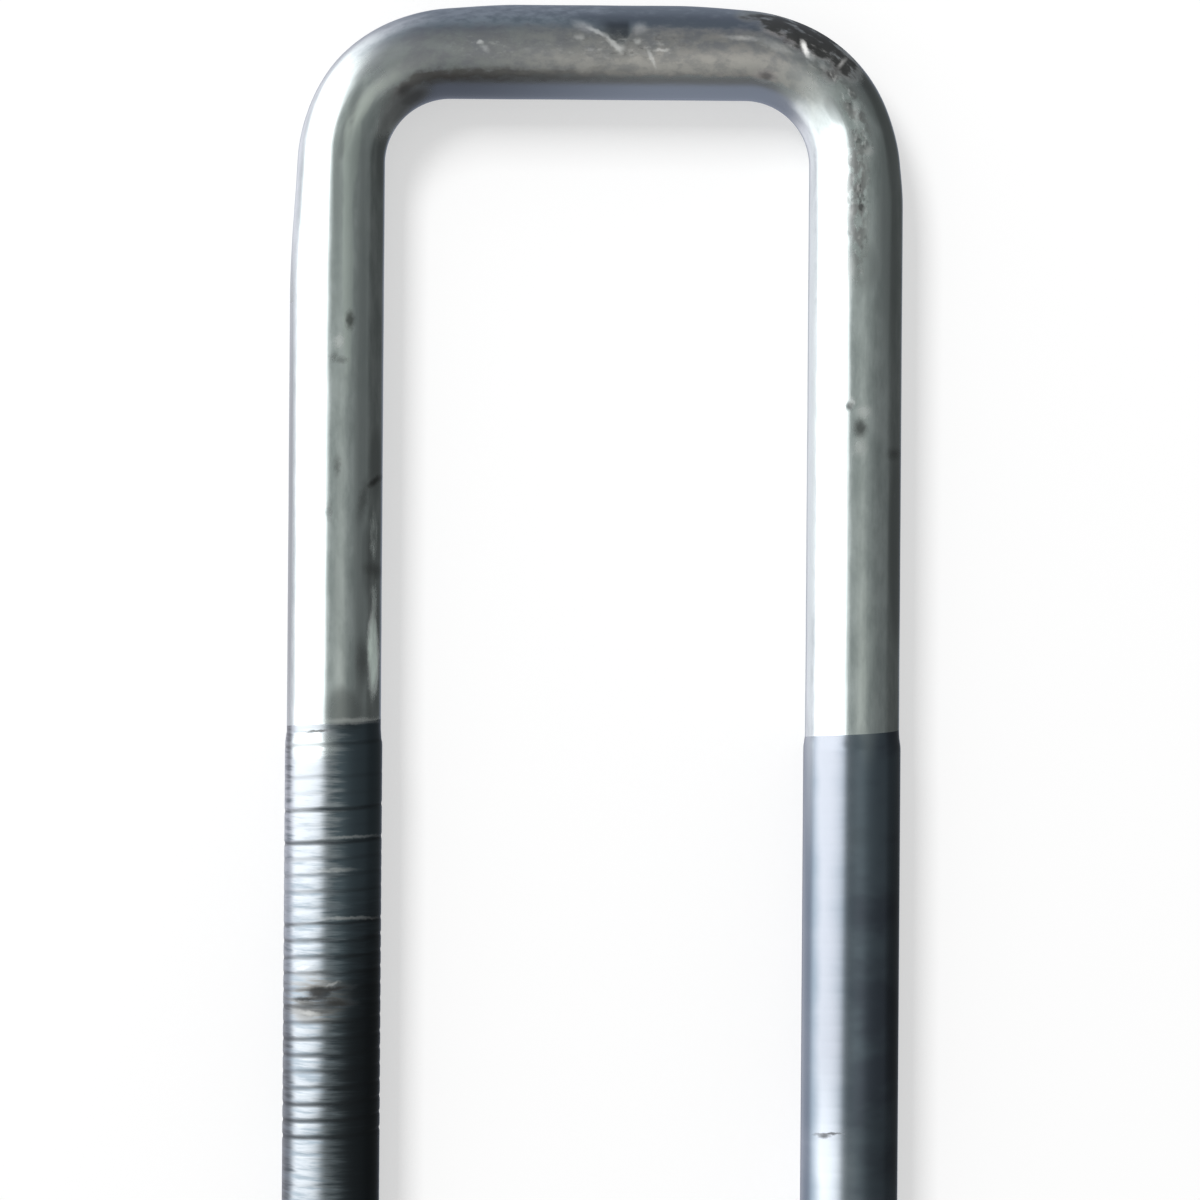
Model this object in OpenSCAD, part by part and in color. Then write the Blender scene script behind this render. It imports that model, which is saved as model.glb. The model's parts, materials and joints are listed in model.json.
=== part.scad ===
// Square U-bolt: one round bar with a straight crown, two square bends and two threaded legs.
// It lies flat: X runs across the legs, +Y towards the crown, +Z up from the surface it lies on.

/* [Bar] */
// Diameter of the plain bar
bar_d = 9.2; // [6:0.05:14]
// Distance between the centre lines of the legs
leg_spacing = 50.8; // [32:0.1:160]
// Clear height from the inside of the crown to the leg tips
inside_h = 114.3; // [75:0.1:300]
// Inside radius of the bends
bend_r = 6.4; // [2:0.1:18]

/* [Thread] */
// Diameter over the crests of the thread
thread_d = 9.525; // [6:0.005:14]
// Length of the thread on each leg, with the chamfered tip
thread_len = 50.8; // [15:0.1:90]
// Length of the run-out between the thread and the plain bar
runout_len = 1.6; // [0.4:0.1:6]
// Chamfer on the tip of each leg
tip_chamfer = 1; // [0.2:0.1:2.5]

/* [Hidden] */

$fn = 96;

// The bends keep the bar's full section, so their centre line clears the inside radius by half a bar.
bend_line_r = bend_r + bar_d / 2;
half_crown = leg_spacing / 2 - bend_line_r;
leg_len = inside_h - bend_r;

// Lengths along a leg, measured from the bend
thread_end = leg_len - tip_chamfer;
thread_start = leg_len - thread_len;
plain_end = thread_start - runout_len;

// The crown's back and the leg tips are equally far from the origin.
bend_y = (inside_h - bar_d) / 2 - bend_r;

// Height of the centre lines above the surface
line_z = max(bar_d, thread_d) / 2;

// Half outline of a leg about its own centre line, from the bend to the chamfered tip
function leg_outline() = [
    [0, 0],
    [bar_d / 2, 0],
    [bar_d / 2, plain_end],
    [thread_d / 2, thread_start],
    [thread_d / 2, thread_end],
    [thread_d / 2 - tip_chamfer, leg_len],
    [0, leg_len]
];

// A leg, turned from its outline, running from the bend towards -Y
module leg() {
    rotate([90, 0, 0])
        rotate_extrude()
            polygon(leg_outline());
}

// A quarter turn of the bar, from the leg round to the crown
module bend() {
    rotate_extrude(angle = 90)
        translate([bend_line_r, 0])
            circle(d = bar_d);
}

// Half of the straight stretch across the top, from the bend to the middle
module crown_half() {
    rotate([0, -90, 0])
        cylinder(d = bar_d, h = half_crown);
}

// The half of the bar on +X, set out from the centre of its bend so that the stretches meet end to end
module half_bar() {
    translate([half_crown, bend_y, 0]) {
        bend();
        translate([0, bend_line_r, 0])
            crown_half();
        translate([bend_line_r, 0, 0])
            leg();
    }
}

// The whole bar, bent from one length
module u_bolt() {
    color([0.67, 0.70, 0.70])
        translate([0, 0, line_z])
            for (side = [0, 1])
                mirror([side, 0, 0])
                    half_bar();
}

u_bolt();
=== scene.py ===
"""A worn, zinc-plated square U-bolt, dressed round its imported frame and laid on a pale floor."""

import json
import math

import bmesh
import bpy
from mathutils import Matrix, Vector, noise


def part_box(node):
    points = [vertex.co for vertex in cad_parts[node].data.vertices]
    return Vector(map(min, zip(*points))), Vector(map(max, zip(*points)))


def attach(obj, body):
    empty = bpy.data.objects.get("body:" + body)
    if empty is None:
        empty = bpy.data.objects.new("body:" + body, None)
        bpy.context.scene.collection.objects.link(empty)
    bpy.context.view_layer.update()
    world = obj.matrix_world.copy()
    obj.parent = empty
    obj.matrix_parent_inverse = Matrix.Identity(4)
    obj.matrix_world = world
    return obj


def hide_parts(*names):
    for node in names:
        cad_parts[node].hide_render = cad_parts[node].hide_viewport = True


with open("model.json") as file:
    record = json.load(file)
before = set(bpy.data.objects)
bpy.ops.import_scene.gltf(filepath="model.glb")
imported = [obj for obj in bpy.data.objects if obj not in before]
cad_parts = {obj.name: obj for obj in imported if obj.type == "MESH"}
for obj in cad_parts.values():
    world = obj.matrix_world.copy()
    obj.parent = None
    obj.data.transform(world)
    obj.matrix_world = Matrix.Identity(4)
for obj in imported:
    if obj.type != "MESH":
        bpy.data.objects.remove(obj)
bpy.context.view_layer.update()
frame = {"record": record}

MM = 0.001

# Sizes of the bar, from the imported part
mounts = {mount["name"]: mount for mount in frame["record"]["mounts"]}
low_corner, high_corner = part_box("u_bolt")
LEG_X = mounts["leg_studs"]["dims"]["spacing_x_mm"] * MM / 2
LINE_Z = mounts["leg_studs"]["pos_m"][2]
THREAD_R = mounts["leg_studs"]["dims"]["stud_r_mm"] * MM
CROWN_INSIDE_Y = mounts["crown_saddle"]["pos_m"][1]
BAR_R = (high_corner.y - CROWN_INSIDE_Y) / 2
TIP_Y = low_corner.y

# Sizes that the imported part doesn't state
BEND_INSIDE_R = 6.4 * MM
TIP_CHAMFER = 1.0 * MM
RUNOUT_LEN = 1.6 * MM
THREAD_LEN = mounts["left_thread"]["dims"]["length_mm"] * MM + TIP_CHAMFER

# The bar's centre line, measured along the bar from the left tip to the right tip
BEND_LINE_R = BEND_INSIDE_R + BAR_R
BEND_LEN = BEND_LINE_R * math.pi / 2
LEG_LEN = CROWN_INSIDE_Y - BEND_INSIDE_R - TIP_Y
HALF_CROWN = LEG_X - BEND_LINE_R
BAR_LEN = 2 * (LEG_LEN + BEND_LEN + HALF_CROWN)
CUT_LEN = THREAD_LEN + RUNOUT_LEN

# Distance from a tip beyond which the crown's finish covers the bar
CROWN_FROM = LEG_LEN - 14 * MM

# Flats outside the bends: depth at the leg, depth at the middle, and where past the leg they start
LEFT_BEND_FLAT = (0.74 * MM, 0.57 * MM, -13 * MM)
RIGHT_BEND_FLAT = (0.58 * MM, 0.58 * MM, -4 * MM)

# Where past the leg a flat changes depth, is full and fades, and how quickly it rounds off
FLAT_CHANGES = (3 * MM, 9 * MM)
FLAT_FULL = 4 * MM
FLAT_FADES = (24 * MM, 13 * MM)
FLAT_ROUNDING = 1.5

# Slight unevenness of the drawn bar: its depth, its waves along and round, and where it sets in
RIPPLE_DEPTH = 0.02 * MM
RIPPLE_ALONG = 130
RIPPLE_ROUND = 0.9
RIPPLE_SETTLE = 2 * MM

# The thread: 16 to the inch, right-handed, with broad crests
PITCH = 25.4 * MM / 16
GROOVE_DEPTH = 0.07 * MM
WORN_DEPTH = 0.0015 * MM
GROOVE_MOUTH = 0.22
GROOVE_ROOT = 0.03
THREAD_ROWS = (0.11, 0.25, 0.32, 0.39, 0.46, 0.54, 0.61, 0.68, 0.75)
LEFT_START, RIGHT_START = 0.43, 0.0
THREAD_TURNS = 33.5
LEFT_END, RIGHT_END = (THREAD_TURNS + LEFT_START) * PITCH, THREAD_TURNS * PITCH
WOUND_LEN = CUT_LEN + 2 * PITCH

# Share of a turn at which the underside lies, and the heights over which the right leg's thread wears off
UNDERSIDE = 0.75
WORN_HEIGHTS = (-0.6, -0.05)

# How open each turn of the left leg's groove is, from the tip up, worn and filled in places
OPEN_TURNS = (
    0.5, 0.5, 0.5, 0.4, 0.1, 0.1, 0.05, 0.1, 1.0, 0.9, 0.9,
    0.7, 0.6, 0.8, 0.8, 0.7, 0.6, 0.6, 0.7, 0.7, 0.8, 0.8,
    0.2, 0.4, 0.35, 0.3, 0.9, 0.1, 0.8, 0.15, 0.25, 0.05, 0.5, 0.2,
)

# How finely the bar's skin is divided
COLUMNS = 88
PLAIN_STEP = 0.5 * MM
CROWN_STEP = 0.36 * MM
SNAP = 0.5e-6
SHARP_ANGLE = math.radians(50)

# Height over which the marks of the upper side fade in
UPPER_BLEND = 1 * MM

# How the photo frames the bar
PHOTO_PX = 1200
PX_PER_MM = 10.2
PHOTO_TILT = math.radians(0.42)
PHOTO_MIDDLE = Vector((0.6 * MM, 3.5 * MM))
LENS_MM = 120
SENSOR_MM = 36
CAMERA_HEIGHT = PHOTO_PX / PX_PER_MM * MM * LENS_MM / SENSOR_MM


def on_photo(point):
    """The pixel of the photo that shows a point of the bar."""
    nearness = CAMERA_HEIGHT / (CAMERA_HEIGHT - (point.z - LINE_Z))
    offset = (point.xy - PHOTO_MIDDLE) * nearness * PX_PER_MM / MM
    cosine, sine = math.cos(PHOTO_TILT), math.sin(PHOTO_TILT)
    right, up = offset.x * cosine + offset.y * sine, offset.y * cosine - offset.x * sine
    return PHOTO_PX / 2 + right, PHOTO_PX / 2 - up


def smoothstep(start, end, value):
    """0 at start, 1 at end, and a smooth rise between."""
    share = min(max((value - start) / (end - start), 0.0), 1.0)
    return share * share * (3 - 2 * share)


# The bar's shape


def half_line(along):
    """Centre and outward direction on the left half of the bar."""
    if along <= LEG_LEN:
        return Vector((-LEG_X, TIP_Y + along, LINE_Z)), Vector((-1, 0, 0))
    turn = min((along - LEG_LEN) / BEND_LINE_R, math.pi / 2)
    outward = Vector((-math.cos(turn), math.sin(turn), 0))
    centre = Vector((-HALF_CROWN, TIP_Y + LEG_LEN, LINE_Z)) + outward * BEND_LINE_R
    centre.x += max(along - LEG_LEN - BEND_LEN, 0.0)
    return centre, outward


def bar_line(along):
    """Centre and outward direction at a distance along the bar from the left tip."""
    if along <= BAR_LEN / 2:
        return half_line(along)
    centre, outward = half_line(BAR_LEN - along)
    return Vector((-centre.x, centre.y, centre.z)), Vector((-outward.x, outward.y, 0))


def is_left(along):
    return along < BAR_LEN / 2


def tip_distance(along):
    return min(along, BAR_LEN - along)


def groove_share(along, angle):
    """How deep the thread groove is here, from 0 on a crest to 1 at an open root."""
    from_tip = tip_distance(along)
    if from_tip > CUT_LEN + PITCH:
        return 0.0
    lead = angle / (2 * math.pi)
    turn = from_tip / PITCH - (lead + LEFT_START if is_left(along) else RIGHT_START - lead)
    fade = 1 - smoothstep(THREAD_LEN, CUT_LEN + PITCH, from_tip)
    if is_left(along):
        fade *= OPEN_TURNS[min(max(math.floor(turn) + 1, 0), len(OPEN_TURNS) - 1)]
    return fade * smoothstep(GROOVE_MOUTH, GROOVE_ROOT, abs(turn % 1.0 - 0.5))


def groove_depth(along, angle):
    """Depth of an open groove; the right leg's thread is worn nearly smooth on its upper side."""
    worn = 0.0 if is_left(along) else smoothstep(*WORN_HEIGHTS, math.sin(angle))
    return GROOVE_DEPTH + (WORN_DEPTH - GROOVE_DEPTH) * worn


def is_threaded(along, angle):
    """True on the threaded stretch, whose upper end follows the helix and steps back under the leg."""
    lead = angle / (2 * math.pi)
    behind = (UNDERSIDE - lead if is_left(along) else lead - UNDERSIDE) % 1.0
    end = LEFT_END if is_left(along) else RIGHT_END
    return tip_distance(along) < end - behind * PITCH


def bend_flat(along, angle):
    """How far the outside of a bend is pressed in."""
    past_leg = tip_distance(along) - LEG_LEN
    at_leg, at_middle, start = LEFT_BEND_FLAT if is_left(along) else RIGHT_BEND_FLAT
    depth = at_leg + (at_middle - at_leg) * smoothstep(*FLAT_CHANGES, past_leg)
    share = smoothstep(start, FLAT_FULL, past_leg) * smoothstep(*FLAT_FADES, past_leg)
    return depth * share * max(math.cos(angle), 0.0) ** FLAT_ROUNDING


def ripple(along, angle):
    """How far the drawn bar is uneven here."""
    across, height = math.cos(angle) * RIPPLE_ROUND, math.sin(angle) * RIPPLE_ROUND
    return RIPPLE_DEPTH * noise.noise(Vector((along * RIPPLE_ALONG, across, height)))


def skin_radius(along, angle):
    """Radius of the bar's skin at a distance along it and an angle about its centre line."""
    from_tip = tip_distance(along)
    if from_tip > WOUND_LEN:
        settle = smoothstep(WOUND_LEN, WOUND_LEN + RIPPLE_SETTLE, from_tip)
        return BAR_R - bend_flat(along, angle) - settle * abs(ripple(along, angle))
    growth = smoothstep(CUT_LEN, THREAD_LEN, from_tip)
    thread = BAR_R + (THREAD_R - BAR_R) * growth
    thread -= groove_depth(along, angle) * groove_share(along, angle)
    return min(thread, THREAD_R - TIP_CHAMFER + from_tip)


# Soft patches on the upper side, in photo pixels: across, down, half width, half height, turn, strength
SOFT_PATCHES = {
    # Darker: handling wear, and painted shade down the left leg's inner side and rim, the right leg's
    # outer edge, beside the left bend's highlight and over the right bend's highlight
    "dull": (
        (361, 470, 7, 420, 0.4, 0.55),
        (360, 668, 7, 40, 0, 0.8),
        (344, 712, 20, 26, 0, 1.0),
        (337, 195, 7, 60, 0, 0.6),
        (290, 470, 3, 290, 0.4, 0.9),
        (376, 462, 7, 40, 0, 0.8),
        (366, 560, 6, 40, 0, 0.9),
        (338, 480, 8, 40, 0, 0.4),
        (336, 600, 8, 60, 0, 0.35),
        (897, 545, 9, 105, 0, 1.0),
        (350, 120, 6, 50, 16, 0.9),
        (374, 64, 6, 30, 52, 0.9),
        (889, 230, 11, 170, -1, 0.6),
        (868, 96, 9, 50, -28, 0.7),
        (866, 268, 14, 30, 0, 0.6),
        (383, 150, 7, 50, 2, 0.9),
        (834, 110, 8, 18, -30, 0.9),
    ),
    # Paler: painted reflections along the left leg, the left bend and the right leg's inner side, a pale
    # patch low on the right leg, and a painted highlight at the left thread's start
    "pale": (
        (348, 250, 6, 150, 0, 1.0),
        (811, 430, 5, 330, 0.3, 1.0),
        (868, 650, 12, 90, 0, 0.5),
        (354, 155, 6, 60, 6, 1.0),
        (366, 104, 6, 26, 25, 1.0),
        (391, 80, 6, 22, 58, 1.0),
        (428, 76, 24, 5, -3, 0.9),
        (312, 746, 20, 14, 0, 1.0),
    ),
    # Dark: soot on the right bend, dirt on the left bend and the threads, and painted shade on the left
    # leg's rim, at the thread's start and down the threads' shaded sides and rims
    "smudge": (
        (756, 18, 20, 7, 12, 0.5),
        (778, 25, 24, 10, 22, 0.9),
        (802, 34, 26, 15, 32, 1.0),
        (821, 43, 22, 14, 38, 1.0),
        (841, 60, 24, 11, 48, 0.9),
        (398, 108, 12, 34, 34, 0.5),
        (412, 98, 20, 8, -28, 0.6),
        (346, 712, 22, 22, 0, 0.7),
        (290, 570, 4, 250, 0.4, 0.9),
        (860, 836, 16, 14, 0, 0.3),
        (384, 1130, 60, 230, 0, 1.0),
        (283, 1110, 12, 170, 0, 0.7),
        (321, 993, 11, 6, 0, 1.0),
        (322, 1003, 30, 14, 0, 0.6),
        (900, 1010, 15, 260, 0, 0.6),
        (872, 1160, 26, 80, 0, 0.4),
    ),
    "scuffed": (
        (826, 66, 30, 10, 42, 1.0),
        (780, 46, 30, 8, 22, 0.8),
        (855, 114, 42, 10, 73, 1.0),
        (858, 190, 84, 10, 90, 1.0),
        (620, 46, 70, 14, 0, 0.6),
        (490, 46, 40, 12, 0, 0.5),
    ),
    "chalky": (
        (373, 655, 6, 42, 0, 0.95),
        (374, 600, 3.5, 18, 0, 0.5),
        (374, 536, 4, 26, 0, 0.4),
        (337, 440, 3, 16, 0, 0.4),
        (346, 372, 2.5, 20, 0, 0.3),
    ),
    # Painted shade down the side of each thread turned from the light, and along their rims
    "greasy": (
        (386, 960, 58, 900, 0, 1.0),
        (284, 960, 9, 900, 0, 0.4),
        (890, 960, 50, 900, 0, 1.0),
        (803, 960, 16, 900, 0, 0.8),
    ),
}

# Half widths from a patch's middle at which it ends and is full, and beyond which it is skipped
PATCH_END, PATCH_FULL = 1.5, 0.4
PATCH_REACH = 3


def patch_share(marks, px, py):
    """A wide soft mask, strongest in the middle of oval patches."""
    share = 0.0
    for across, down, half_width, half_height, turn, strength in marks:
        cosine, sine = math.cos(math.radians(turn)), math.sin(math.radians(turn))
        right, below = px - across, py - down
        if abs(right) + abs(below) > PATCH_REACH * (half_width + half_height):
            continue
        lengthwise = (right * cosine + below * sine) / half_width
        crosswise = (below * cosine - right * sine) / half_height
        distance = math.hypot(lengthwise, crosswise)
        share = max(share, strength * smoothstep(PATCH_END, PATCH_FULL, distance))
    return share


# The flat map that the finish is baked through: three strips and the two tips, in millimetres
MAP_SIZE = 112.0
MAP_MARGIN = 1.0
STRIP_TOP = {"left": 1.0, "right": 33.0, "crown": 65.0}
STRIP_WIDTH = 30.0
TIP_MIDDLES = ((80.0, 72.0), (92.0, 72.0))


def map_place(along, column, strip):
    """Where a place on the bar lies on the flat map."""
    starts = {"left": 0.0, "right": BAR_LEN - LEG_LEN, "crown": LEG_LEN}
    across = MAP_MARGIN + (along - starts[strip]) / MM
    down = STRIP_TOP[strip] + STRIP_WIDTH * column / COLUMNS
    return Vector((across / MAP_SIZE, down / MAP_SIZE))


def strip_of(along):
    if along < LEG_LEN:
        return "left"
    return "crown" if along < BAR_LEN - LEG_LEN else "right"


# The finishes, in the order that the bar carries them
CROWN_FINISH, LEG_FINISH, THREAD_FINISH = 0, 1, 2


def finish_index(along, angle):
    """Which finish covers a place on the bar."""
    if is_threaded(along, angle):
        return THREAD_FINISH
    return CROWN_FINISH if tip_distance(along) > CROWN_FROM else LEG_FINISH


class BarSkin:
    """The bar's surface as it is made, face by face, from places given as (along, column)."""

    def __init__(self):
        self.mesh = bmesh.new()
        layers = self.mesh.verts.layers
        self.straight = layers.float_vector.new("straight")
        self.seen = layers.float_vector.new("seen")
        self.groove = layers.float.new("groove")
        self.patches = {name: layers.float.new(name) for name in SOFT_PATCHES}
        self.map = self.mesh.loops.layers.uv.new("OFBake")
        self.made = {}

    def vertex(self, along, column):
        key = (round(along / SNAP), column % COLUMNS)
        if key not in self.made:
            self.made[key] = self.new_vertex(along, 2 * math.pi * (column % COLUMNS) / COLUMNS)
        return self.made[key]

    def new_vertex(self, along, angle):
        centre, outward = bar_line(along)
        radius = skin_radius(along, angle)
        across, height = radius * math.cos(angle), radius * math.sin(angle)
        vertex = self.mesh.verts.new(centre + outward * across + Vector((0, 0, height)))
        vertex[self.straight] = (along / MM, across / MM, height / MM)
        upper = smoothstep(-UPPER_BLEND, UPPER_BLEND, height)
        px, py = on_photo(vertex.co)
        vertex[self.seen] = (px, py, upper)
        vertex[self.groove] = groove_share(along, angle)
        for name, layer in self.patches.items():
            vertex[layer] = upper * patch_share(SOFT_PATCHES[name], px, py) if upper else 0.0
        return vertex

    def face(self, *places):
        corners = {}
        for along, column in places:
            corners.setdefault(self.vertex(along, column), (along, column))
        if len(corners) < 3:
            return
        face = self.mesh.faces.new(list(corners))
        face.smooth = True
        middle = sum(along for along, _ in places) / len(places)
        turn = sum(column for _, column in places) / len(places) / COLUMNS
        face.material_index = finish_index(middle, 2 * math.pi * turn)
        strip = strip_of(middle)
        for loop in face.loops:
            loop[self.map].uv = map_place(*corners[loop.vert], strip)

    def strip(self, start_row, end_row):
        """Faces all round the bar between two rows, each a function from column to place along."""
        for column in range(COLUMNS):
            self.face(
                (start_row(column), column),
                (start_row(column + 1), column + 1),
                (end_row(column + 1), column + 1),
                (end_row(column), column),
            )

    def tip(self, along, middle):
        """The flat face at a leg's tip."""
        face = self.mesh.faces.new([self.vertex(along, column) for column in range(COLUMNS)])
        face.material_index = finish_index(along, 0.0)
        for loop in face.loops:
            _, across, height = loop.vert[self.straight]
            loop[self.map].uv = ((middle[0] + across) / MAP_SIZE, (middle[1] + height) / MAP_SIZE)


def thread_row(turn, share, right):
    """A row that follows the helix, cut off square at the tip and beyond the run-out."""

    def along(column):
        lead = column / COLUMNS
        start = RIGHT_START - lead if right else LEFT_START + lead
        from_tip = min(max((turn + share + start) * PITCH, 0.0), WOUND_LEN)
        return BAR_LEN - from_tip if right else from_tip

    return along


def plain_row(place):
    """A row square across the bar."""
    return lambda column: place


def plain_places():
    """Where the rows of the unthreaded stretch lie, closest together round the bends and crown."""
    places = [WOUND_LEN]
    while places[-1] < BAR_LEN - WOUND_LEN:
        near_crown = LEG_LEN - PLAIN_STEP < places[-1] < BAR_LEN - LEG_LEN
        places.append(places[-1] + (CROWN_STEP if near_crown else PLAIN_STEP))
    places[-1] = BAR_LEN - WOUND_LEN
    return places


def cut_thread(skin, right):
    """The threaded stretch of one leg, its rows wound along the helix."""
    turns = math.ceil(WOUND_LEN / PITCH) + 2
    rows = [thread_row(turn, share, right) for turn in range(-2, turns) for share in THREAD_ROWS]
    for start_row, end_row in zip(rows, rows[1:]):
        skin.strip(start_row, end_row)


def build_bar():
    """The whole bar as one closed mesh."""
    skin = BarSkin()
    cut_thread(skin, right=False)
    cut_thread(skin, right=True)
    rows = [plain_row(place) for place in plain_places()]
    for start_row, end_row in zip(rows, rows[1:]):
        skin.strip(start_row, end_row)
    skin.tip(0.0, TIP_MIDDLES[0])
    skin.tip(BAR_LEN, TIP_MIDDLES[1])
    bmesh.ops.recalc_face_normals(skin.mesh, faces=skin.mesh.faces)
    mesh = bpy.data.meshes.new("bent_bar")
    skin.mesh.to_mesh(mesh)
    skin.mesh.free()
    mesh.set_sharp_from_angle(angle=SHARP_ANGLE)
    piece = bpy.data.objects.new("bent_bar", mesh)
    piece.visible_glossy = False
    bpy.context.scene.collection.objects.link(piece)
    return piece


# Shader maths

# Places of the colour sockets on a Mix node
MIX_SHARE, MIX_FIRST, MIX_SECOND, MIX_RESULT = 0, 6, 7, 2


class Wire:
    """An output of a node tree; arithmetic on it adds Math nodes, or Vector Math for a vector."""

    def __init__(self, tree, socket):
        self.tree = tree
        self.socket = socket

    def reckon(self, operation, first, second):
        kind = "Math" if self.socket.type == "VALUE" else "VectorMath"
        return self.tree.node(kind, {"operation": operation}, {0: first, 1: second})

    def __add__(self, other):
        return self.reckon("ADD", self, other)

    def __radd__(self, other):
        return self.reckon("ADD", other, self)

    def __sub__(self, other):
        return self.reckon("SUBTRACT", self, other)

    def __rsub__(self, other):
        return self.reckon("SUBTRACT", other, self)

    def __mul__(self, other):
        return self.reckon("MULTIPLY", self, other)

    def __rmul__(self, other):
        return self.reckon("MULTIPLY", other, self)

    def __truediv__(self, other):
        return self.reckon("DIVIDE", self, other)

    def __rtruediv__(self, other):
        return self.reckon("DIVIDE", other, self)

    def __abs__(self):
        return self.reckon("ABSOLUTE", self, 0.0)

    def at_least(self, other):
        return self.reckon("MAXIMUM", self, other)

    def at_most(self, other):
        return self.reckon("MINIMUM", self, other)

    def rise(self, start, end):
        """0 where this is start, 1 where it is end, and a smooth rise between."""
        return self.tree.node(
            "MapRange",
            {"interpolation_type": "SMOOTHSTEP"},
            {"Value": self, "From Min": start, "From Max": end},
        )


class Shading:
    """A node tree that grows as its wires are used in expressions."""

    def __init__(self, owner):
        owner.use_nodes = True
        self.tree = owner.node_tree
        self.tree.nodes.clear()

    def node(self, kind, settings=None, sockets=None, output=0):
        made = self.tree.nodes.new("ShaderNode" + kind)
        for name, value in (settings or {}).items():
            setattr(made, name, value)
        for name, value in (sockets or {}).items():
            if isinstance(value, Wire):
                self.tree.links.new(value.socket, made.inputs[name])
            else:
                made.inputs[name].default_value = value
        return Wire(self, made.outputs[output]) if made.outputs else None

    def mix(self, first, second, share):
        """The first colour where share is 0, the second where it is 1."""
        sockets = {MIX_SHARE: share, MIX_FIRST: rgba(first), MIX_SECOND: rgba(second)}
        return self.node("Mix", {"data_type": "RGBA"}, sockets, MIX_RESULT)

    def grain(self, place, scale, detail=3.0, roughness=0.55, output=0):
        """Noise from 0 to 1 at a place."""
        sockets = {
            "Vector": place,
            "Scale": scale,
            "Detail": detail,
            "Roughness": roughness,
        }
        return self.node("TexNoise", None, sockets, output)

    def parts(self, vector):
        """The three parts of a vector."""
        return [self.node("SeparateXYZ", None, {0: vector}, axis) for axis in "XYZ"]

    def nearest_mark(self, place, marks):
        """Distance from the nearest oval mark, 0 at its middle and 1 at its edge."""
        nearest = None
        for across, down, half_width, half_height, turn in marks:
            sockets = {
                "Vector": place,
                "Location": (across, down, 0),
                "Rotation": (0, 0, math.radians(turn)),
                "Scale": (half_width, half_height, 1),
            }
            local = self.node("Mapping", {"vector_type": "TEXTURE"}, sockets)
            distance = self.node("VectorMath", {"operation": "LENGTH"}, {0: local}, "Value")
            nearest = nearest.at_most(distance) if nearest else distance
        return nearest


def rgba(colour):
    return colour if isinstance(colour, Wire) else (*colour, 1.0)


class Coat:
    """A finish: its colour, roughness, share of bare metal, and relief if it has its own."""

    def __init__(self, shade, colour, roughness, metal=1.0, height=None):
        self.shade = shade
        self.colour = colour
        self.roughness = roughness
        self.metal = metal
        self.height = height

    def under(self, top, share):
        """This coat with another on top of it where share is 1."""
        colour = self.shade.mix(self.colour, top.colour, share)
        roughness = self.roughness + (top.roughness - self.roughness) * share
        metal, height = self.metal, self.height
        if metal != top.metal:
            metal = metal + (top.metal - metal) * share
        if top.height is not None:
            height = height + (top.height - height) * share
        return Coat(self.shade, colour, roughness, metal, height)


# How marks wander from true ovals: waves to a pixel of the photo, and pixels across and down
WANDER_SCALE = 0.2
WANDER_REACH = (5, 4, 0)


class BarFinish(Shading):
    """A material of the bar, with wires that say where on the bar a point lies."""

    def __init__(self, name):
        self.material = bpy.data.materials.new(name)
        super().__init__(self.material)
        self.bar = self.attribute("straight", "Vector")
        self.along, self.across, _ = self.parts(self.bar)
        self.photo = self.attribute("seen", "Vector")
        self.photo_across, self.photo_down, self.upper = self.parts(self.photo)
        flat = self.photo * (1, 1, 0)
        wander = self.grain(flat, WANDER_SCALE, 2.0, output="Color") - (0.5, 0.5, 0.5)
        self.ragged_photo = flat + wander * WANDER_REACH

    def attribute(self, name, output="Fac"):
        return self.node("Attribute", {"attribute_name": name}, None, output)

    def stretched(self, lengthwise, scale, detail=3.0, roughness=0.55):
        """Noise drawn out along the bar."""
        return self.grain(self.bar * (lengthwise, 1, 1), scale, detail, roughness)

    def marks(self, marks, soft):
        """1 inside ragged oval marks on the upper side, given in pixels of the photo."""
        return self.nearest_mark(self.ragged_photo, marks).rise(1 + soft, 1 - soft) * self.upper

    def finished(self, coat):
        """The material with a coat as its surface."""
        relief = {"Strength": 1.0, "Distance": MM, "Height": coat.height}
        sockets = {
            "Base Color": coat.colour,
            "Roughness": coat.roughness,
            "Metallic": coat.metal,
            "Normal": self.node("Bump", None, relief),
        }
        metal = self.node("BsdfPrincipled", None, sockets)
        self.node("OutputMaterial", None, {"Surface": metal})
        return self.material


# Colours of the finish, as linear red, green and blue
ZINC_PALE = (0.73, 0.775, 0.765)
ZINC_GREY = (0.52, 0.565, 0.555)
ZINC_SHADED_DULL = (0.41, 0.44, 0.435)
PALE_GREEN = (0.72, 0.78, 0.74)
FILM_TAN = (0.48, 0.45, 0.435)
FILM_COOL = (0.38, 0.395, 0.395)
FILM_GREY = (0.31, 0.31, 0.335)
FILM_PALE = (0.70, 0.655, 0.625)
SLATE_PALE = (0.53, 0.57, 0.575)
SLATE = (0.34, 0.375, 0.39)
SLATE_DARK = (0.235, 0.25, 0.275)
SLATE_NOTCH = (0.10, 0.11, 0.125)
UNDER_CROWN_REFLECTION_LEFT = (0.23, 0.24, 0.25)
UNDER_CROWN_REFLECTION_RIGHT = (0.54, 0.565, 0.58)
GRIME = (0.06, 0.06, 0.058)
SOOT = (0.02, 0.02, 0.019)
DARK_BROWN = (0.14, 0.125, 0.115)
WARM_GREY = (0.30, 0.298, 0.295)
WHITE_RUST = (0.86, 0.86, 0.84)
CHALKY_GREEN = (0.55, 0.65, 0.59)
ROLLED_PALE = (0.45, 0.475, 0.50)
ROLLED_MID = (0.26, 0.30, 0.335)
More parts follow.
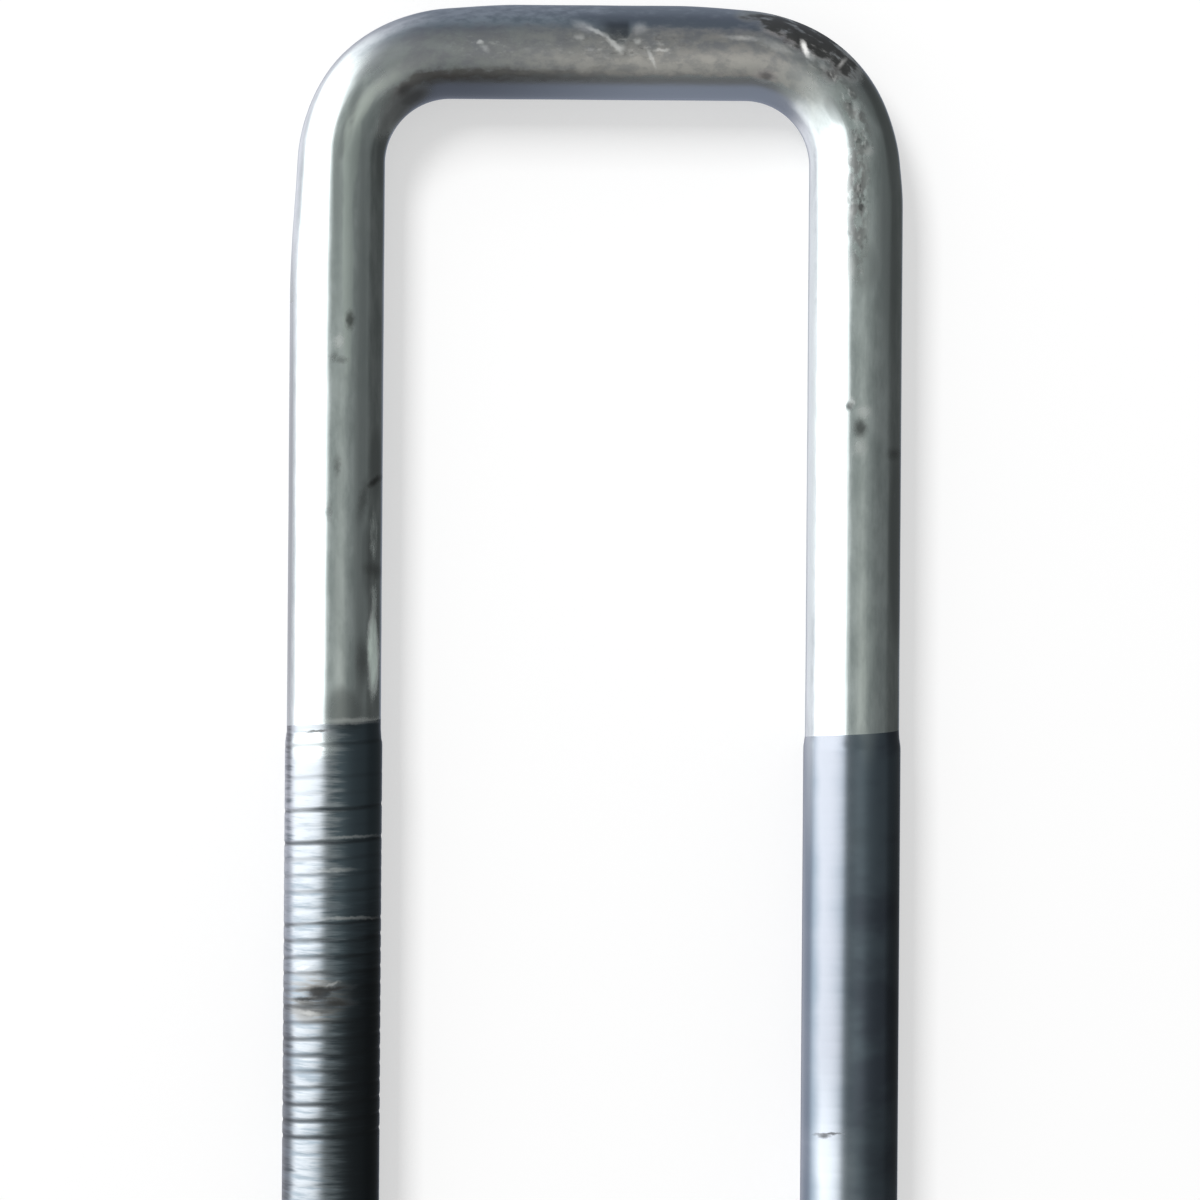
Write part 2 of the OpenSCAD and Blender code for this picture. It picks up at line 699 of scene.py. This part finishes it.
# Painted shade on the rolled thread
ROLLED_SHADED = (0.115, 0.15, 0.175)
SMOOTH_PALE = (0.34, 0.357, 0.395)
# A painted highlight low on the right thread
SMOOTH_LOW_HIGHLIGHT = (0.50, 0.53, 0.57)
# Painted shade on the smooth thread, and deeper painted shade on its far side
SMOOTH_SHADED = (0.175, 0.215, 0.255)
SMOOTH_DEEP_SHADE = (0.12, 0.14, 0.175)
GROOVE_BLACK = (0.04, 0.045, 0.05)
TAN_DIRT = (0.26, 0.25, 0.225)

# Coats over the zinc: colour, roughness and, unless it is all metal, share of bare metal
# Handling wear, and also painted shade
SHADE_AND_HANDLING = (ZINC_SHADED_DULL, 0.24)
# Mostly a painted reflection, paler than the zinc
REFLECTION_AND_PALE_PATCH = (PALE_GREEN, 0.25)
# Grime, also used as painted shade
LEG_GRIME_AND_SHADE = (GRIME, 0.4)
CHALK = (CHALKY_GREEN, 0.6, 0.0)
# Chips and scratches of white rust, also used for painted glints
CHIP_AND_GLINT = (WHITE_RUST, 0.6, 0.5)
SCRATCH_AND_GLINT = (WHITE_RUST, 0.5, 0.5)
WHITE_CHIP = (WHITE_RUST, 0.6, 0.0)
# Painted shade
SHADED_BACK = (SLATE_DARK, 0.3)
NOTCH = (SLATE_NOTCH, 0.35)
INSIDE_LINE = (DARK_BROWN, 0.4)
SCUFF = (WARM_GREY, 0.42)
SPECK = (GRIME, 0.45)
SMEAR = (SOOT, 0.5, 0.0)

# Coats over the thread, in the same way
# A painted highlight at the thread's start
THREAD_TOP_HIGHLIGHT = (ZINC_PALE, 0.2)
TAN_SMEAR = (TAN_DIRT, 0.6, 0.1)
# Grease, also used as painted shade on the threads' shaded sides
GREASE_AND_SHADE = (GROOVE_BLACK, 0.35)
# Packed dirt, also painted shade in the grooves
GROOVE_DIRT_AND_SHADE = (GROOVE_BLACK, 0.45)
BLACK_SPOT = (SOOT, 0.6, 0.0)

# Sharp marks on the upper side, in pixels of the photo: across, down, half width, half height, turn
LEG_SPOTS = (
    (350, 320, 4, 8, 0),
    (374, 482, 9, 3, -38),
    (849, 406, 3, 4, 0),
    (860, 428, 6, 8, 0),
    # Painted shade under the thread's start
    (358, 731, 26, 5, -3),
)
LEG_STAINS = (
    (334, 357, 4, 4, 20),
    (341, 360, 5, 3, 0),
    (337, 466, 3, 8, 0),
    (363, 500, 4, 18, 12),
    (374, 570, 9, 6, 20),
    (362, 660, 5, 18, 0),
    (329, 512, 2.5, 8, 0),
    (894, 454, 6, 5, 0),
)
LEG_CHIPS = (
    (339, 341, 4, 6, 15),
    (863, 412, 6, 5, 0),
    (860, 447, 6, 8, 0),
    (852, 402, 3, 4, 0),
    # A painted highlight along the thread's start
    (354, 720, 25, 2, -2),
)
CROWN_SPOTS = (
    (831, 76, 6, 6, 0),
    (766, 76, 8, 5, 0),
    (799, 40, 4, 14, -20),
    (816, 50, 8, 5, 40),
    (404, 89, 8, 5, -30),
)
BRIGHT_CHIPS = ((805, 49, 2.6, 7.5, -22),)
FAINT_CHIPS = (
    (776, 46, 16, 4, 24),
    (745, 38, 16, 2, 4),
    (584, 26, 10, 4, 20),
    (640, 28, 6, 5, 0),
    (620, 49, 4, 4, 0),
    (579, 37, 4, 2.5, 0),
    (638, 41, 3, 2.5, 0),
    (787, 51, 5, 2.2, 10),
    (849, 268, 5, 9, 0),
    (485, 48, 4, 2.5, 30),
    (811, 57, 5, 3, 40),
    (823, 67, 4, 3, 40),
    (842, 63, 2, 5, 40),
    (856, 114, 3, 9, -4),
    (869, 151, 4, 4, 0),
    (846, 190, 3, 10, 0),
    (850, 212, 4, 5, 0),
)
CROWN_SCRATCHES = (
    (598, 32, 10, 2.2, 26),
    (613, 43, 10, 2.6, 46),
    (652, 59, 1.8, 9, -22),
    (662, 50, 7, 1.4, -4),
    (480, 42, 3, 2, 0),
)
THREAD_BLOTCH = (
    (317, 992, 8, 5, 0),
    (334, 989, 16, 2.5, -8),
    (338, 1003, 14, 4, 0),
    (306, 999, 12, 2, 0),
)
THREAD_SCORES = (
    (829, 1134, 12, 1.2, -2),
    (824, 1136, 5, 2, 0),
    (318, 731, 12, 1, -3),
)
# Painted highlights: the thread's starting edge, pale lines across the thread and glints round the blotch
THREAD_GLINTS = (
    (354, 722, 25, 2, -2),
    (346, 918, 28, 1.5, -1),
    (350, 837, 24, 1.5, -3),
    (334, 870, 18, 1.8, -2),
    (303, 968, 8, 2, -20),
    (309, 1013, 9, 2, 8),
    (333, 984, 6, 1.2, -20),
)
THREAD_TAN = ((318, 1000, 36, 28, 0),)

# Where the crown's finish changes, in pixels across the photo
CROWN_WARMS = (440, 680)
NOTCH_LEFT, NOTCH_RIGHT = (584, 620), (636, 624)
BACK_DARKENS = (550, 610)

# How far past each leg the crown's film starts and is full, in millimetres
FILM_STARTS, FILM_FULL = 4, 15


def plain_zinc(finish):
    """Zinc plate, mottled, with lines drawn along the bar, darker where handled and where shade is
    painted, and paler where reflections are painted.
    """
    mottle = finish.stretched(0.4, 0.6, 4.0, 0.6)
    drawn = finish.stretched(0.04, 2.2, 2.0)
    colour = finish.mix(ZINC_GREY, ZINC_PALE, (mottle * 0.85 + drawn * 0.15).rise(0.27, 0.73))
    coat = Coat(finish, colour, 0.13 + 0.14 * mottle, height=0.006 * drawn)
    # Darker where handled, and painted shade where the legs and bends turn from the light
    dull = (finish.attribute("dull") + (mottle - 0.5) * 0.7).rise(0.2, 0.9)
    coat = coat.under(Coat(finish, *SHADE_AND_HANDLING), dull * 0.85)
    # Paler where reflections and a highlight are painted
    pale = (finish.attribute("pale") + (mottle - 0.5) * 0.7).rise(0.25, 0.9)
    return coat.under(Coat(finish, *REFLECTION_AND_PALE_PATCH), pale * 0.75)


def leg_zinc():
    """The finish of the plain legs."""
    finish = BarFinish("leg_zinc")
    coat = plain_zinc(finish)
    # Painted shade on the left leg's rim and at the thread's start
    coat = coat.under(Coat(finish, *LEG_GRIME_AND_SHADE), finish.attribute("smudge") * 0.4)
    chalky = (finish.attribute("chalky") + (finish.stretched(0.3, 1.6) - 0.5) * 0.8).rise(0.1, 1.2)
    coat = coat.under(Coat(finish, *CHALK), chalky * 0.9)
    spots = (finish.marks(LEG_STAINS, 0.9) * 0.45).at_least(finish.marks(LEG_SPOTS, 0.7) * 0.75)
    coat = coat.under(Coat(finish, *LEG_GRIME_AND_SHADE), spots)
    coat = coat.under(Coat(finish, *CHIP_AND_GLINT), finish.marks(LEG_CHIPS, 0.95) * 0.3)
    return finish.finished(coat)


def crown_film(finish, scuff, rightward):
    """The tan and grey film on the crown, paler at its lower right."""
    blotch = finish.stretched(0.65, 0.8, 4.0, 0.65).rise(0.36, 0.64)
    light = finish.mix(FILM_COOL, FILM_TAN, rightward)
    colour = finish.mix(FILM_GREY, light, blotch * 0.8 + scuff * 0.2)
    pale = finish.across.rise(0.3, -1.5) * rightward * (0.5 + 0.5 * blotch)
    return Coat(finish, finish.mix(colour, FILM_PALE, pale), 0.28 + 0.1 * scuff, height=0.012 * scuff)


def crown_coats(finish, coat, scuff, rightward):
    """The film over the crown, its back painted darker slate as a painted reflection with painted shade
    along its edge, the notch in that, a brown line and a painted reflection along its inside.
    """
    left_leg, right_leg = LEG_LEN / MM, (BAR_LEN - LEG_LEN) / MM
    crown = finish.along.rise(left_leg + FILM_STARTS, left_leg + FILM_FULL)
    crown = crown * finish.along.rise(right_leg - FILM_STARTS, right_leg - FILM_FULL)
    edge = finish.across + (scuff - 0.5) * 1.6
    coat = coat.under(crown_film(finish, scuff, rightward), crown)
    notch = finish.photo_across.rise(*NOTCH_LEFT) * finish.photo_across.rise(*NOTCH_RIGHT) * 1.5
    back = edge + notch
    # A painted reflection: the crown's back in darker slate
    slate = finish.mix(SLATE_PALE, SLATE, (scuff + 0.2 * rightward).rise(0.35, 0.75))
    coat = coat.under(Coat(finish, slate, 0.3), crown * back.rise(1.6, 2.5))
    # Painted shade along the back's outer edge, on the right
    dark = back.rise(1.7, 2.3) * finish.across.rise(3.7, 2.9)
    dark = dark * finish.photo_across.rise(*BACK_DARKENS)
    coat = coat.under(Coat(finish, *SHADED_BACK), crown * dark * 0.7)
    cut = notch.rise(0.5, 1.4) * back.rise(1.7, 2.3) * finish.across.rise(3.0, 2.0)
    coat = coat.under(Coat(finish, *NOTCH), cut * 0.85)
    # A painted reflection along the crown's inside, paler to the right
    under = finish.mix(UNDER_CROWN_REFLECTION_LEFT, UNDER_CROWN_REFLECTION_RIGHT, rightward)
    inside = (edge * 0.5 + finish.across * 0.5).rise(-2.5, -2.9)
    coat = coat.under(Coat(finish, under, 0.25), crown * inside)
    # A brown line along the crown's inside, fading to the right
    line = abs(edge + 2.6).rise(0.8, 0.1) * (1 - 0.9 * rightward)
    return coat.under(Coat(finish, *INSIDE_LINE), crown * line * 0.8)


def crown_zinc():
    """The finish of the crown and bends, with the marks of use that they carry, and painted reflections
    and shade.
    """
    finish = BarFinish("crown_zinc")
    scuff = finish.stretched(0.6, 1.2, 3.0, 0.6)
    rightward = finish.photo_across.rise(*CROWN_WARMS)
    coat = crown_coats(finish, plain_zinc(finish), scuff, rightward)
    scuffed = finish.attribute("scuffed")
    lumps = finish.stretched(0.7, 0.9, 3.0)
    coat = coat.under(Coat(finish, *SCUFF), scuffed * lumps.rise(0.4, 0.56) * 0.9)
    specks = scuffed * scuff.rise(0.56, 0.68)
    coat = coat.under(Coat(finish, *SPECK), specks * rightward * 0.6)
    smudge = finish.attribute("smudge") * (1.2 + rightward * (4.2 * scuff - 2.1))
    coat = coat.under(Coat(finish, *SMEAR), smudge.rise(0.0, 1.0) * 0.97)
    coat = coat.under(Coat(finish, *SMEAR), finish.marks(CROWN_SPOTS, 0.8) * 0.75)
    flakes = finish.stretched(0.6, 2.0, 3.0, 0.65)
    faint = finish.marks(FAINT_CHIPS, 0.9) * (0.3 + scuff)
    faint = faint.at_least(scuffed * flakes.rise(0.52, 0.72))
    coat = coat.under(Coat(finish, *CHIP_AND_GLINT), faint * 0.38)
    coat = coat.under(Coat(finish, *SCRATCH_AND_GLINT), finish.marks(CROWN_SCRATCHES, 0.6) * 0.45)
    bright = finish.marks(BRIGHT_CHIPS, 0.7)
    return finish.finished(coat.under(Coat(finish, *WHITE_CHIP), bright * 0.95))


def thread_steel():
    """Rolled steel, lined on the left leg and smoother and bluer on the right, with painted shade down
    the side of each thread turned from the light.
    """
    finish = BarFinish("thread_steel")
    middle = BAR_LEN / 2 / MM
    right = finish.along.rise(middle - 1, middle + 1)
    lines = finish.grain(finish.bar * (1, 0.09, 0.09), 2.2, 4.0, 0.65)
    drift = finish.grain(finish.bar * (1, 0.5, 0.5), 0.22, 3.0)
    # Painted shade on each thread's side turned from the light
    greasy = finish.attribute("greasy")
    streaky = (greasy + (lines - 0.5) * 1.5).rise(0.15, 0.8)
    # A painted highlight, paler towards the left thread's top
    top_highlight = finish.photo_down.rise(940, 780) * 0.16
    pale = finish.mix(ROLLED_MID, ROLLED_PALE, (lines + top_highlight).rise(0.36, 0.62))
    rolled = finish.mix(pale, ROLLED_SHADED, streaky)
    # A painted highlight, brighter low on the right thread
    bright = finish.mix(SMOOTH_PALE, SMOOTH_LOW_HIGHLIGHT, finish.photo_down.rise(1040, 1190))
    # Deeper painted shade towards the right thread's far edge
    deeper_shade = drift.rise(0.4, 0.66) * finish.photo_across.rise(838, 862) * finish.upper
    shaded = finish.mix(SMOOTH_SHADED, SMOOTH_DEEP_SHADE, deeper_shade)
    smooth = finish.mix(bright, shaded, (greasy + (drift - 0.5) * 0.5).rise(0.1, 0.9))
    colour = finish.mix(rolled, smooth, right)
    coat = Coat(finish, colour, 0.3 - 0.06 * right, height=0.013 * lines * (1 - right))
    # A painted highlight at the left thread's start, and painted reflection on the right thread's inner
    # rim
    coat = coat.under(Coat(finish, *THREAD_TOP_HIGHLIGHT), finish.attribute("pale") * 0.85)
    tan = finish.nearest_mark(finish.ragged_photo, THREAD_TAN).rise(1.3, 0.4) * finish.upper
    coat = coat.under(Coat(finish, *TAN_SMEAR), tan * lines.rise(0.4, 0.6) * 0.75)
    # Dirt round the blotch, and painted shade down the threads' shaded sides and rims
    smudge = (finish.attribute("smudge") + (lines - 0.5) * 0.8 * (1 - right)).rise(0.1, 1.0)
    coat = coat.under(Coat(finish, *GREASE_AND_SHADE), smudge * 0.92)
    # Dirt packed in the left thread's grooves, which also stands in for their shade
    groove_dirt_and_shade = finish.attribute("groove") * (1 - right) * (lines + drift - 0.3).rise(0.2, 0.8)
    coat = coat.under(Coat(finish, *GROOVE_DIRT_AND_SHADE), groove_dirt_and_shade * 0.9)
    # Painted highlights along the thread
    coat = coat.under(Coat(finish, *SCRATCH_AND_GLINT), finish.marks(THREAD_GLINTS, 0.8) * 0.3)
    black = finish.marks(THREAD_BLOTCH, 0.8).at_least(finish.marks(THREAD_SCORES, 0.7) * 0.7)
    return finish.finished(coat.under(Coat(finish, *BLACK_SPOT), black * 0.95))


# The studio

FLOOR_SIZE = 6.0
FLOOR_GLOW = 0.5
PAPER_WHITE = (0.97, 0.97, 0.97)


def pale_floor():
    """A plain white floor that keeps the bar's shadow pale."""
    material = bpy.data.materials.new("pale_floor")
    shade = Shading(material)
    paper = shade.node("BsdfDiffuse", None, {"Color": rgba(PAPER_WHITE)})
    white = shade.node("Emission", None, {"Strength": 1.0})
    seen = shade.node("LightPath", None, None, "Is Camera Ray")
    both = shade.node("MixShader", None, {0: FLOOR_GLOW * seen, 1: paper, 2: white})
    shade.node("OutputMaterial", None, {"Surface": both})
    bpy.ops.mesh.primitive_plane_add(size=FLOOR_SIZE)
    floor = bpy.context.object
    floor.name = "pale_floor"
    floor.data.materials.append(material)
    floor.visible_glossy = False


# Light from each side of the studio, as linear red, green and blue
PANEL_LIGHT = (2.45, 2.5, 2.55)
BELOW_PANEL = (0.95, 0.94, 1.04)
CEILING = (0.38, 0.41, 0.40)
CEILING_GLOW = (0.64, 0.66, 0.63)
ROOM_LIGHT = (0.5, 0.5, 0.5)
RIGHT_SIDE = (0.172, 0.184, 0.184)
BACK_SIDE = (0.26, 0.30, 0.36)
FRONT_SIDE = (0.20, 0.20, 0.20)
LOW_MIDDLE = (0.32, 0.35, 0.43)
LOW_RIGHT = (0.09, 0.095, 0.095)
WHITE = (1.0, 1.0, 1.0)

# The lamp that throws the shadow, in metres and watts
LAMP_SIZE = (0.66, 1.14)
LAMP_PLACE = (-0.84, 1.19, 1.7)
LAMP_WATTS = 46


def panel_share(x, y, z, aside):
    """1 towards the large soft light on the left, by its near edge, its two ends and its foot."""
    back, front = y.at_least(0.0), (-1 * y).at_least(0.0)
    edge = (-3.3 * x - z.at_least(0.0) - 1.8 * back - 3 * front).rise(-0.4, 0.35)
    back_end = aside.rise(2.6, 0.7)
    front_end = (1 - 0.6 * aside.rise(-0.05, -0.38)) * aside.rise(-1.7, -0.9)
    foot = (z + 0.5 * back).rise(-0.45, -0.15)
    return edge * back_end * back_end * front_end * foot


def studio_surround():
    """A large soft light on the left under a grey ceiling, with darker sides."""
    world = bpy.data.worlds.new("studio")
    bpy.context.scene.world = world
    shade = Shading(world)
    toward = shade.node("TexCoord", None, None, "Generated")
    x, y, z = shade.parts(toward)
    overhead = 0.30 * x - 0.30 * y + 0.906 * z
    light = shade.mix(CEILING, CEILING_GLOW, overhead.rise(0.92, 0.985))
    light = shade.mix(light, RIGHT_SIDE, x.rise(0.2, 1.0))
    light = shade.mix(light, BACK_SIDE, y.rise(0.6, 0.95))
    light = shade.mix(light, FRONT_SIDE, y.rise(-0.82, -0.94))
    low = shade.mix(LOW_MIDDLE, LOW_RIGHT, x.rise(0.1, 0.6))
    aside = y / (-1 * x).at_least(0.02)
    low = shade.mix(low, BELOW_PANEL, x.rise(-0.1, -0.5) * aside.rise(-1.0, -0.35))
    light = shade.mix(light, low, z.rise(0.12, -0.12))
    light = shade.mix(light, PANEL_LIGHT, panel_share(x, y, z, aside))
    mirrored = shade.node("LightPath", None, None, "Is Glossy Ray")
    light = shade.mix(ROOM_LIGHT, light, mirrored)
    seen = shade.node("LightPath", None, None, "Is Camera Ray")
    light = shade.mix(light, WHITE, seen)
    sky = shade.node("Background", None, {"Color": light})
    shade.node("OutputWorld", None, {"Surface": sky})


def key_lamp():
    """A soft lamp high on the upper left that throws the bar's shadow on the floor."""
    lamp = bpy.data.lights.new("key_lamp", "AREA")
    lamp.shape = "RECTANGLE"
    lamp.size, lamp.size_y = LAMP_SIZE
    lamp.energy = LAMP_WATTS
    holder = bpy.data.objects.new("key_lamp", lamp)
    holder.location = LAMP_PLACE
    holder.visible_glossy = False
    bpy.context.scene.collection.objects.link(holder)


def camera_above():
    """The camera, looking straight down as the photo does."""
    lens = bpy.data.cameras.new("camera")
    lens.lens = LENS_MM
    lens.sensor_width = SENSOR_MM
    lens.clip_start = CAMERA_HEIGHT / 100
    lens.clip_end = CAMERA_HEIGHT * 100
    camera = bpy.data.objects.new("camera", lens)
    camera.location = (PHOTO_MIDDLE.x, PHOTO_MIDDLE.y, LINE_Z + CAMERA_HEIGHT)
    camera.rotation_euler = (0, 0, PHOTO_TILT)
    bpy.context.scene.collection.objects.link(camera)
    bpy.context.scene.camera = camera


bar = build_bar()
for finish in (crown_zinc(), leg_zinc(), thread_steel()):
    bar.data.materials.append(finish)
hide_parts("u_bolt")
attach(bar, "root")

pale_floor()
studio_surround()
key_lamp()
camera_above()
bpy.context.scene.view_settings.view_transform = "Standard"
